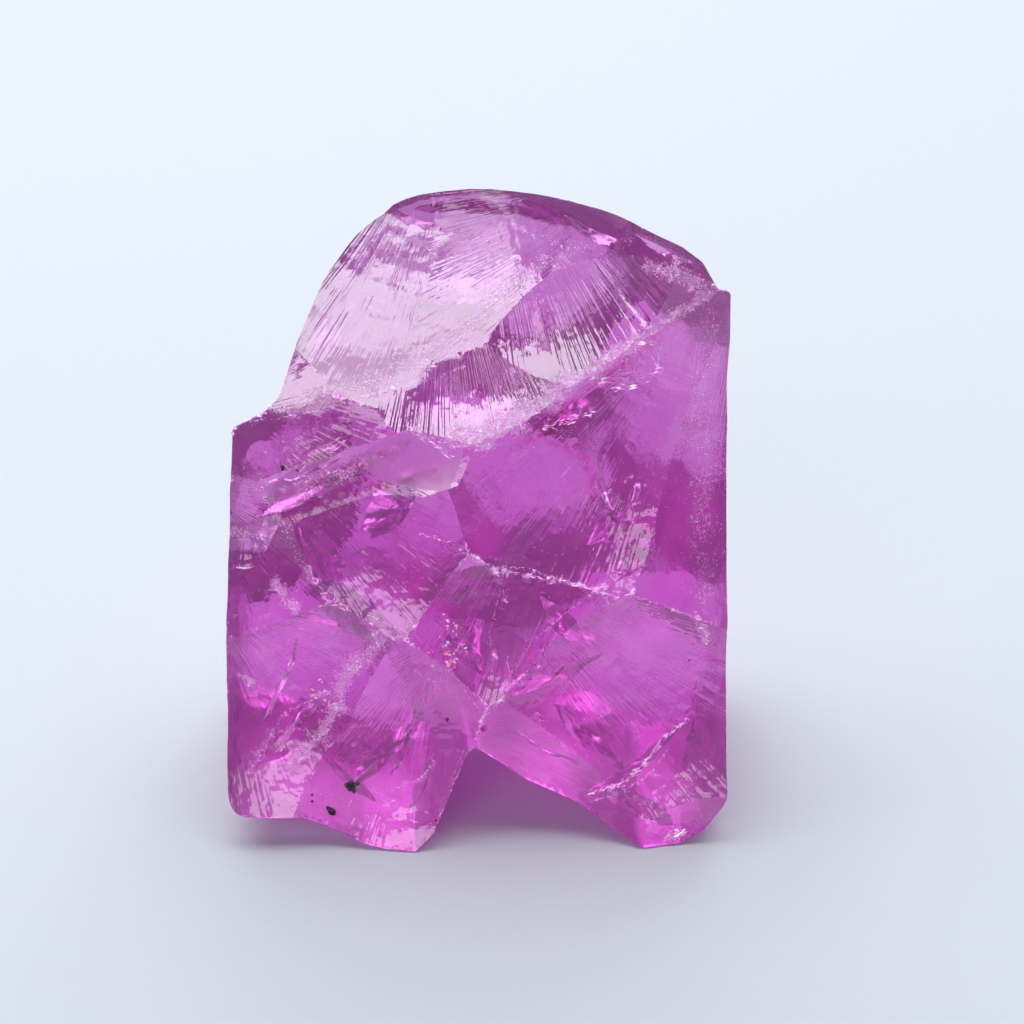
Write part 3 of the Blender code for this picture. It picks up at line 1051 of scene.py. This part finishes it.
# Cracks inside: place on the skin, depth under it, direction of the long axis, dip of the
# sheet, half sizes and how far the sheet is bowed.
CRACKS = {
    "foot_crack": ((8.9, -5.5, 4.4), 0.7, (0.80, 0.22, 0.56), 62.0, 3.2, 0.5, 0.5),
    "hook_crack": ((6.9, 0.3, 19.0), 0.9, (-0.10, 0.37, 0.93), 50.0, 2.4, 0.3, 0.9),
    "ledge_crack": ((5.4, 1.7, 22.6), 0.8, (0.83, 0.20, 0.52), 45.0, 1.5, 0.8, 0.2),
    "leaf_crack": ((3.6, -4.2, 9.0), 1.0, (0.95, 0.12, 0.28), 55.0, 2.9, 0.8, 0.3),
    "belt_crack": ((8.3, -1.9, 14.8), 0.9, (0.72, 0.25, 0.65), 50.0, 1.6, 0.9, 0.3),
    "heart_crack": ((-0.6, -4.2, 10.3), 1.0, (0.75, -0.20, -0.62), 50.0, 1.5, 0.8, 0.2),
    "heart_flake": ((0.6, -4.4, 9.8), 0.6, (0.30, 0.35, 0.88), 45.0, 0.9, 0.5, 0.2),
    "splinter_low": ((-9.4, -0.9, 18.4), 0.7, (0.92, 0.14, 0.36), 52.0, 3.4, 0.6, 0.3),
    "splinter_high": ((-6.6, -0.2, 20.0), 0.7, (0.90, 0.16, 0.40), 52.0, 3.0, 0.7, 0.3),
    "splinter_fine": ((-9.8, -0.3, 19.6), 0.5, (0.94, 0.12, 0.30), 60.0, 2.2, 0.3, 0.2),
    "wing": ((-5.0, -0.9, 17.6), 1.4, (0.60, 0.30, 0.74), 40.0, 2.6, 1.3, 0.5),
    "left_triangle": ((-8.6, -1.7, 15.4), 1.2, (0.50, -0.32, -0.80), 42.0, 2.0, 1.2, 0.3),
    "leg_crack": ((-3.9, -5.5, 5.8), 0.9, (0.35, 0.33, 0.88), 50.0, 2.6, 0.5, 0.3),
    "leg_flake": ((-5.4, -5.6, 4.8), 1.2, (0.75, 0.25, 0.61), 45.0, 2.4, 0.9, 0.5),
    "left_crack": ((-11.0, -3.5, 8.4), 0.9, (0.40, 0.33, 0.85), 50.0, 3.0, 0.25, 0.4),
    "left_flake": ((-10.2, -4.7, 6.2), 0.8, (0.62, 0.28, 0.73), 48.0, 2.2, 0.5, 0.4),
    "right_long": ((7.6, -0.5, 17.0), 1.4, (0.62, 0.28, 0.73), 42.0, 2.6, 1.0, 0.5),
    "under_belt": ((4.6, -3.3, 12.0), 1.2, (-0.78, 0.22, 0.58), 45.0, 2.0, 0.8, 0.4),
    "foot_veil": ((6.0, -5.6, 5.6), 1.6, (0.70, -0.25, -0.67), 50.0, 2.6, 0.8, 0.2),
    "rim_veil": ((-0.6, 8.7, 31.3), 0.8, (1.0, -0.05, 0.05), -42.0, 3.3, 0.6, 0.3),
    "rim_veil_right": ((3.4, 7.9, 31.3), 0.7, (0.95, -0.25, -0.12), -42.0, 2.6, 0.6, 0.2),
    "shoulder_veil": ((-9.2, -0.2, 20.2), 1.0, (0.80, 0.25, 0.55), -45.0, 2.6, 0.6, 0.3),
    "left_veil": ((-11.6, -1.0, 16.8), 1.2, (0.20, 0.36, 0.91), 45.0, 2.2, 0.7, 0.3),
    "foot_streak_left": ((-7.4, -6.2, 3.6), 0.9, (0.75, -0.27, -0.60), 55.0, 2.0, 0.4, 0.2),
    "foot_streak_inner": ((-3.2, -6.3, 3.2), 0.7, (0.45, 0.35, 0.82), 58.0, 1.8, 0.3, 0.2),
    "foot_right_low": ((8.6, -6.6, 2.2), 1.0, (0.85, -0.20, -0.48), 42.0, 2.4, 0.7, 0.3),
    "foot_right_side": ((11.8, -5.2, 5.2), 1.2, (0.15, 0.38, 0.91), 48.0, 2.2, 0.6, 0.3),
    "arch_streak": ((3.2, -5.6, 5.4), 0.6, (0.86, -0.20, -0.46), 60.0, 2.6, 0.25, 0.2),
    "deep_left": ((-7.2, -3.0, 12.6), 2.2, (0.85, -0.20, -0.50), -38.0, 3.2, 1.2, 0.5),
    "deep_middle": ((0.0, -2.6, 14.0), 2.4, (0.95, 0.10, 0.25), -36.0, 3.4, 1.3, 0.6),
    "rim_crack": ((6.4, 6.3, 30.9), 0.6, (0.80, -0.20, -0.30), 50.0, 1.8, 0.5, 0.2),
}

# Dark grains at the surface: place and radius.
GRAINS = [
    ((-7.2, -6.3, 3.1), 0.30),
    ((-6.8, -6.2, 3.2), 0.13),
    ((-7.0, -6.4, 2.8), 0.11),
    ((-8.2, -7.1, 1.9), 0.20),
    ((-8.4, -7.0, 2.1), 0.12),
    ((-9.3, -6.7, 2.8), 0.08),
    ((-9.3, -6.9, 2.5), 0.07),
    ((-10.7, -0.3, 19.9), 0.13),
    ((-9.9, -0.4, 19.8), 0.06),
    ((-1.8, -5.2, 6.8), 0.09),
    ((11.5, -3.7, 9.7), 0.06),
    ((-2.4, -7.0, 1.3), 0.09),
]


def build_crack(name, skin, depth, along, dip, half_long, half_short, bow, rng):
    """A thin bowed gap: a flattened ball, turned inside out because it is empty."""
    deselect()
    bpy.ops.mesh.primitive_uv_sphere_add(segments=32, ring_count=14, radius=MM)
    crack = bpy.context.object
    crack.name = name
    along = (Vector(along) - INWARD * INWARD.dot(Vector(along))).normalized()
    level = along.cross(INWARD)
    if level.z < 0.0:
        level = -level
    dip = math.radians(dip)
    through = (level * math.sin(dip) - INWARD * math.cos(dip)).normalized()
    axes = np.array([along, through.cross(along), through])
    ball = rest_points(crack.data)
    sheet = ball * np.array([half_long, half_short, CRACK_GAP])
    bowed = bow * (ball[:, 0] ** 2 - 0.5)
    sheet[:, 2] += bowed + waves(rng, sheet[:, :2], [(2.0, 0.10), (0.6, 0.03)])
    reach = np.maximum(np.hypot(ball[:, 0], ball[:, 1]), 1e-6)
    compass = ball[:, :2] / reach[:, None]
    torn = waves(rng, compass, [(2.2, 0.16), (0.8, 0.08), (0.3, 0.03)])
    sheet[:, :2] *= 0.95 + torn[:, None]
    middle = Vector(skin) + INWARD * depth + SHIFT
    set_points(crack.data, sheet @ axes + np.array(middle))
    edit_all()
    turn_faces(inside=True)
    bpy.ops.object.shade_smooth()
    return crack


def covered(place, skin):
    """True for a place in the stone with enough stone over it."""
    spot, out, _, gap = skin.find_nearest(place)
    if gap < CRACK_COVER * MM or (place - spot).dot(out) > 0.0:
        return False
    for towards in (Vector((0.0, 0.0, 1.0)), Vector((0.0, -1.0, 0.0)), Vector((0.0, 1.0, 0.0))):
        _, out, _, _ = skin.ray_cast(place, towards)
        if out is None or out.dot(towards) < 0.0:
            return False
    return True


DRAW_ROUNDS = 24
DRAW_IN = 0.88                        # what a round leaves of the distance to the middle


def keep_inside(crack, skin):
    """Draws a crack in wherever it comes too near the skin of the stone."""
    places = rest_points(crack.data)
    middle = places.mean(axis=0)
    for _ in range(DRAW_ROUNDS):
        close = [n for n, place in enumerate(places) if not covered(Vector(place) * MM, skin)]
        if not close:
            break
        places[close] = middle + (places[close] - middle) * DRAW_IN
    set_points(crack.data, places)


def add_cracks(stone):
    """Joins the inner cracks to the stone as empty gaps in it."""
    rng = np.random.default_rng(SEED + 2)
    cracks = []
    skin = skin_tree(stone)
    for name, spec in CRACKS.items():
        crack = build_crack(name, *spec, rng)
        keep_inside(crack, skin)
        crack.data.materials.append(stone.data.materials[0])
        set_mask(crack, "matte", np.full(len(crack.data.polygons), CRACK_MATTE), "FACE")
        cracks.append(crack)
    join([stone, *cracks], stone.name)


BLACK_GRAIN = (0.010, 0.006, 0.010, 1.0)
RUST = (0.16, 0.02, 0.03, 1.0)


def build_grains():
    """Small dark grains, sunk into the skin of the stone."""
    rng = np.random.default_rng(SEED + 3)
    deselect()
    grains = []
    for place, radius in GRAINS:
        sunk = Vector(place) - FRONT_OUT * radius * 0.6
        bpy.ops.mesh.primitive_ico_sphere_add(
            subdivisions=3, radius=radius * MM, location=(sunk + SHIFT) * MM
        )
        grain = bpy.context.object
        places = rest_points(grain.data)
        lumps = 1.0 + waves(rng, places[:, [0, 2]] + places[:, [1, 1]], [(radius * 1.3, 0.25)])
        set_points(grain.data, places * lumps[:, None])
        grains.append(grain)
    joined = join(grains, "dark_grains")
    bpy.ops.object.transform_apply(location=True, rotation=True, scale=True)
    bpy.ops.object.shade_smooth()
    material, nodes, links, shader = new_material("dark_grain")
    rust = noise_node(nodes, links, object_place(nodes), FINE_GRAIN)
    share = map_node(nodes, links, rust, 0.5, 0.7)
    links.new(mix_node(nodes, links, share, BLACK_GRAIN, RUST), shader.inputs["Base Color"])
    links.new(map_node(nodes, links, rust, 0.3, 0.7, 0.35, 0.8), shader.inputs["Roughness"])
    joined.data.materials.append(material)
    return joined


def along_band(name):
    """The route of a frosted band, without its half widths."""
    return [point[:3] for point in FROST[name][1]]


# White scratches and open crack mouths: half width, slivers to a millimetre, and route.
SCRATCHES = {
    "crack_mouth": (0.11, 26.0, [
        (6.0, -6.3, 2.6), (7.8, -6.2, 3.2), (9.2, -5.6, 4.2), (10.2, -5.0, 5.5), (11.5, -4.7, 6.5),
    ]),
    "crack_mouth_low": (0.07, 14.0, [
        (6.2, -6.4, 2.2), (8.0, -6.3, 2.8), (9.5, -5.8, 3.7), (10.5, -5.2, 5.0),
    ]),
    "short_crack": (0.08, 9.0, [(-3.6, -4.4, 9.6), (-2.8, -4.6, 8.9), (-2.0, -4.7, 9.0)]),
    "star_left": (0.10, 10.0, [(-11.6, -2.1, 13.3), (-11.0, -2.3, 13.2), (-10.2, -2.9, 12.4)]),
    "star_up": (0.08, 8.0, [(-11.0, -1.9, 14.0), (-10.9, -2.5, 12.6)]),
    "left_nick": (0.14, 14.0, along_band("left_nick")),
    "bright_nick": (0.13, 14.0, along_band("bright_nick")),
    "left_seam": (0.08, 8.0, along_band("left_seam")),
    "left_dashes": (0.07, 6.0, [(-11.6, -5.7, 4.5), (-10.7, -5.3, 5.2), (-9.9, -5.0, 6.1)]),
    "leg_flank": (0.08, 6.0, along_band("leg_flank")),
    "leg_pale": (0.10, 8.0, [(-4.7, -6.6, 2.4), (-4.2, -7.5, 1.0)]),
    "foot_edge": (0.08, 9.0, [(-6.2, -7.6, 0.8), (-5.1, -7.8, 0.5)]),
    "foot_chip": (0.20, 22.0, along_band("foot_chip")),
    "belt_tail": (0.16, 12.0, along_band("belt_tail")),
    "ledge_chips": (0.22, 7.0, [
        (6.5, 2.0, 23.8), (6.5, 2.6, 25.0), (7.9, 2.5, 25.9), (9.5, 2.2, 26.1), (9.8, 2.0, 24.7),
        (8.2, 1.9, 23.8), (6.5, 2.0, 23.8),
    ]),
    "under_ledge": (0.16, 14.0, [(3.6, 1.0, 21.6), (5.2, 1.3, 22.1), (6.2, 1.4, 22.4)]),
    "scoop_corner": (0.18, 14.0, [(-3.6, 0.5, 21.8), (-2.4, -0.1, 21.0), (-1.6, -0.2, 20.6)]),
    "right_dashes": (0.10, 5.0, [
        (12.0, 1.4, 24.0), (12.5, 0.8, 21.4), (12.3, 0.0, 19.0), (12.6, -0.9, 16.4),
    ]),
}

# Rainbow glints: middle and spread of each patch, and how many flakes it has.
GLINTS = [
    ((-1.6, -3.7, 12.0), 0.28, 16),
    ((-1.4, -4.3, 10.3), 0.40, 30),
    ((-8.9, -4.2, 7.9), 0.28, 8),
]

# The colours that the glints pass through, by their places along the noise that picks them.
GLINT_COLOURS = [
    (0.40, (0.95, 0.38, 0.34, 1.0)),
    (0.47, (1.0, 0.45, 0.75, 1.0)),
    (0.54, (0.95, 0.90, 1.0, 1.0)),
    (0.60, (0.50, 0.60, 1.0, 1.0)),
]


def fleck_places(stone, bm, rng):
    """Rows for the tiny grains of the frosted skin, most of them where it is whitest."""
    frost = read_all(stone.data.attributes["frost"].data, "value", 1, np.float32)[:, 0]
    faces = list(bm.faces)
    weight = np.array([
        face.calc_area() * max(0.0, np.mean([frost[vert.index] for vert in face.verts]) - FLECK_FROST)
        for face in faces
    ])
    rows = []
    for index in rng.choice(len(faces), FLECKS, p=weight / weight.sum()):
        corners = [vert.co for vert in faces[index].verts]
        shares = rng.dirichlet((1.0, 1.0, 1.0))
        spot = sum((corner * share for corner, share in zip(corners, shares)), Vector())
        size = FLECK_SIZE * 3.0 ** rng.uniform(0.0, 1.0)
        along = Vector(rng.normal(0.0, 1.0, 3))
        rows.append((spot / MM, faces[index].normal.copy(), along, size * rng.uniform(1.0, 2.0), size))
    return rows


def sliver_places(stone, rng):
    """Places, outward and long directions and half sizes of the white slivers and grains."""
    bm = bmesh.new()
    bm.from_mesh(stone.data)
    bm.normal_update()
    skin = BVHTree.FromBMesh(bm)
    edges = [
        edge for edge in bm.edges if edge.is_manifold and edge.calc_face_angle() > RIDGE_ANGLE
    ]
    middles = np.array([tuple(edge_middle(edge)) for edge in edges])
    rows = []

    def lay(place, along, length, width):
        spot, out, _, _ = skin.find_nearest((Vector(place) + SHIFT) * MM)
        rows.append((spot / MM, out, Vector(along), length, width))

    for half_width, route in RIDGES.values():
        gap, _ = along_route(middles, route)
        near = np.nonzero(gap < RIDGE_SEARCH)[0]
        if not len(near):
            continue
        for index in rng.choice(near, int(route_length(route) * SLIVERS_PER_MM)):
            edge = edges[index]
            along = (edge.verts[1].co - edge.verts[0].co).normalized()
            along = along + Vector(rng.normal(0.0, 0.2, 3))
            aside = Vector(rng.normal(0.0, half_width * 0.6, 3))
            size = rng.uniform(0.3, 1.0)
            lay(Vector(middles[index]) + aside, along, half_width * 3.4 * size, half_width * 0.6 * size)
    along_ridges = [(half, ROUTE_SLIVERS_PER_MM, route) for half, route in RIDGES.values()]
    for half_width, count, route in [*SCRATCHES.values(), *along_ridges]:
        for start, end in zip(route, route[1:]):
            start, end = Vector(start), Vector(end)
            for _ in range(max(1, int((end - start).length * count))):
                aside = Vector(rng.normal(0.0, half_width * 0.7, 3))
                place = start.lerp(end, rng.uniform(0.0, 1.0)) + aside
                along = (end - start).normalized() + Vector(rng.normal(0.0, 0.3, 3))
                size = rng.uniform(0.3, 1.0)
                lay(place, along, max(half_width, 0.08) * 1.6 * size, half_width * 0.3 * size)
    rows += fleck_places(stone, bm, rng)
    bm.free()
    return rows


def build_shards(name, rows, rng):
    """One piece of many crooked shards: place, outward and long directions and half sizes."""
    deselect()
    bpy.ops.mesh.primitive_uv_sphere_add(segments=4, ring_count=2, radius=MM)
    shards = bpy.context.object
    shards.name = name
    one = rest_points(shards.data)
    copies = shards.modifiers.new("copies", "ARRAY")
    copies.count = len(rows)
    bpy.ops.object.modifier_apply(modifier=copies.name)
    shapes = []
    for spot, out, along, length, width in rows:
        along = along - out * along.dot(out)
        along.normalize()
        axes = np.array([along * length, out.cross(along) * width, out * min(width, 0.06)])
        crooked = one * rng.uniform(0.6, 1.3, one.shape)
        shapes.append(crooked @ axes + np.array(spot))
    set_points(shards.data, np.concatenate(shapes))
    return shards


def build_glints(stone):
    """Thin flakes in a healed crack, painted in the colours of the rainbow and glowing a little:
    painted glints.
    """
    rng = np.random.default_rng(SEED + 8)
    skin = skin_tree(stone)
    rows = []
    for middle, spread, count in GLINTS:
        for _ in range(count):
            spot, out = scatter(rng, skin, middle, spread)
            size = rng.uniform(0.03, 0.09)
            rows.append((spot / MM, out, Vector(rng.normal(0.0, 1.0, 3)), size * 1.8, size))
    glints = build_shards("rainbow_glints", rows, rng)
    material, nodes, links, shader = new_material("rainbow_glint")
    hue = noise_node(nodes, links, object_place(nodes), 2600.0, 0.0)
    ramp = nodes.new("ShaderNodeValToRGB")
    for position, colour in GLINT_COLOURS:
        stop = ramp.color_ramp.elements.new(position)
        stop.color = colour
    links.new(hue, ramp.inputs["Fac"])
    links.new(ramp.outputs["Color"], shader.inputs["Base Color"])
    # painted glints: the flakes glow faintly in their rainbow colours, though they are no lamp
    links.new(ramp.outputs["Color"], shader.inputs["Emission Color"])
    set_inputs(shader, {"Emission Strength": 0.25, "Roughness": 0.3})
    glints.data.materials.append(material)
    return glints


# Colours of the crushed zircon; the same colours make the faint glow of the slivers, which is painted
# light.
CRUSHED_WHITE_AND_GLOW = (0.97, 0.88, 0.98, 1.0)
CRUSHED_PINK_AND_GLOW = (0.90, 0.38, 0.84, 1.0)


def build_slivers(stone):
    """White slivers and grains lying in the skin, all in one piece; they glow a little, which is
    painted light.
    """
    rng = np.random.default_rng(SEED + 4)
    slivers = build_shards("white_slivers", sliver_places(stone, rng), rng)
    material, nodes, links, shader = new_material("crushed_zircon_and_glow")
    tint = noise_node(nodes, links, object_place(nodes), 3000.0, 2.0, 0.6)
    tint = map_node(nodes, links, tint, 0.32, 0.54)
    colour = mix_node(nodes, links, tint, CRUSHED_WHITE_AND_GLOW, CRUSHED_PINK_AND_GLOW)
    links.new(colour, shader.inputs["Base Color"])
    # painted light: the slivers and grains glow faintly in their own colour, though they are no lamp
    links.new(colour, shader.inputs["Emission Color"])
    set_inputs(shader, {
        "Emission Strength": 0.1,
        "Roughness": 0.32,
        "Metallic": 0.5,
        "IOR": ZIRCON_IOR,
    })
    slivers.data.materials.append(material)
    return slivers


# The set round the stone: lengths in metres, the lens and the sensor in millimetres.
FLOOR_RADIUS = 1.2
FLOOR_DROP = 0.00004                  # how far the floor lies under the stone
FLOOR_GREY = (0.65, 0.68, 0.71, 1.0)
ROOM_FRONT = (0.13, 0.14, 0.16, 1.0)
ROOM_BACK = (0.55, 0.60, 0.65, 1.0)
COOL = (0.92, 0.96, 1.0)
NEUTRAL = (1.0, 1.0, 1.0)
CAMERA_PLACE = (0.001948, -0.14279, 0.09885)
CAMERA_TILT = math.radians(60.0)
CAMERA_LENS = 105.0
CAMERA_SENSOR = 36.0
CAMERA_NEAR = 0.01                    # nothing nearer to the camera is drawn
BOUNCES = 12

# Lights: place, target, width and depth, power, colour, and whether matt surfaces such as the
# floor are lit by it. One that doesn't light them shows in the stone and through it.
LIGHTS = {
    "front_softbox": ((-0.06, -0.15, 0.34), (-0.06, -0.15, 0.0), (0.44, 0.21), 1.52, COOL, False),
    "top_softbox": ((-0.06, 0.11, 0.34), (-0.06, 0.11, 0.0), (0.5, 0.31), 1.35, COOL, True),
    "front_fill": ((-0.14, -0.38, 0.30), (-0.03, -0.04, 0.0), (0.26, 0.16), 0.27, NEUTRAL, True),
    "back_light": ((0.02, 0.60, 0.42), (0.0, 0.0, 0.01), (0.7, 0.4), 2.2, NEUTRAL, True),
    "back_glow": ((0.0, 0.22, 0.16), (0.0, 0.0, 0.015), (0.35, 0.2), 0.5, NEUTRAL, False),
}


def build_floor():
    """The pale surface that the stone stands on."""
    deselect()
    bpy.ops.mesh.primitive_circle_add(vertices=128, radius=FLOOR_RADIUS, fill_type="NGON")
    floor = bpy.context.object
    floor.name = "floor"
    for vert in floor.data.vertices:
        vert.co.z = -FLOOR_DROP
    material, _, _, shader = new_material("pale_floor")
    set_inputs(shader, {"Base Color": FLOOR_GREY, "Roughness": 0.7, "Specular IOR Level": 0.0})
    floor.data.materials.append(material)
    return floor


def build_lights():
    for name, (place, target, size, power, colour, on_floor) in LIGHTS.items():
        data = bpy.data.lights.new(name, "AREA")
        data.shape = "RECTANGLE"
        data.size, data.size_y = size
        data.energy = power
        data.color = colour
        light = bpy.data.objects.new(name, data)
        light.location = place
        light.rotation_euler = (Vector(target) - Vector(place)).to_track_quat("-Z", "Y").to_euler()
        light.visible_diffuse = on_floor
        bpy.context.scene.collection.objects.link(light)


def build_room():
    """The light of the room, brighter towards the back."""
    world = bpy.data.worlds.new("room")
    bpy.context.scene.world = world
    world.use_nodes = True
    nodes, links = world.node_tree.nodes, world.node_tree.links
    place = nodes.new("ShaderNodeTexCoord")
    split = nodes.new("ShaderNodeSeparateXYZ")
    ramp = nodes.new("ShaderNodeValToRGB")
    links.new(place.outputs["Generated"], split.inputs["Vector"])
    links.new(split.outputs["Y"], ramp.inputs["Fac"])
    ramp.color_ramp.elements[0].color = ROOM_FRONT
    ramp.color_ramp.elements[1].color = ROOM_BACK
    ramp.color_ramp.elements[1].position = 0.6
    links.new(ramp.outputs["Color"], nodes["Background"].inputs["Color"])


def build_camera():
    data = bpy.data.cameras.new("camera")
    data.lens = CAMERA_LENS
    data.sensor_width = CAMERA_SENSOR
    data.clip_start = CAMERA_NEAR
    camera = bpy.data.objects.new("camera", data)
    camera.location = CAMERA_PLACE
    camera.rotation_euler = (CAMERA_TILT, 0.0, 0.0)
    bpy.context.scene.collection.objects.link(camera)
    bpy.context.scene.camera = camera


build_camera()
build_lights()
build_room()
build_floor()
bpy.context.scene.view_settings.view_transform = "Standard"
bpy.context.scene.cycles.max_bounces = BOUNCES
bpy.context.scene.cycles.transmission_bounces = BOUNCES
stone, chips = build_stone()
stone.data.materials.clear()
stone.data.materials.append(zircon_material(worn_skin_group()))
finish_surface(stone, chips)
slivers = build_slivers(stone)
glints = build_glints(stone)
add_cracks(stone)
grains = build_grains()
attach(stone, "root")
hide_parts("crystal")
for piece in (slivers, grains, glints):
    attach(piece, "root")
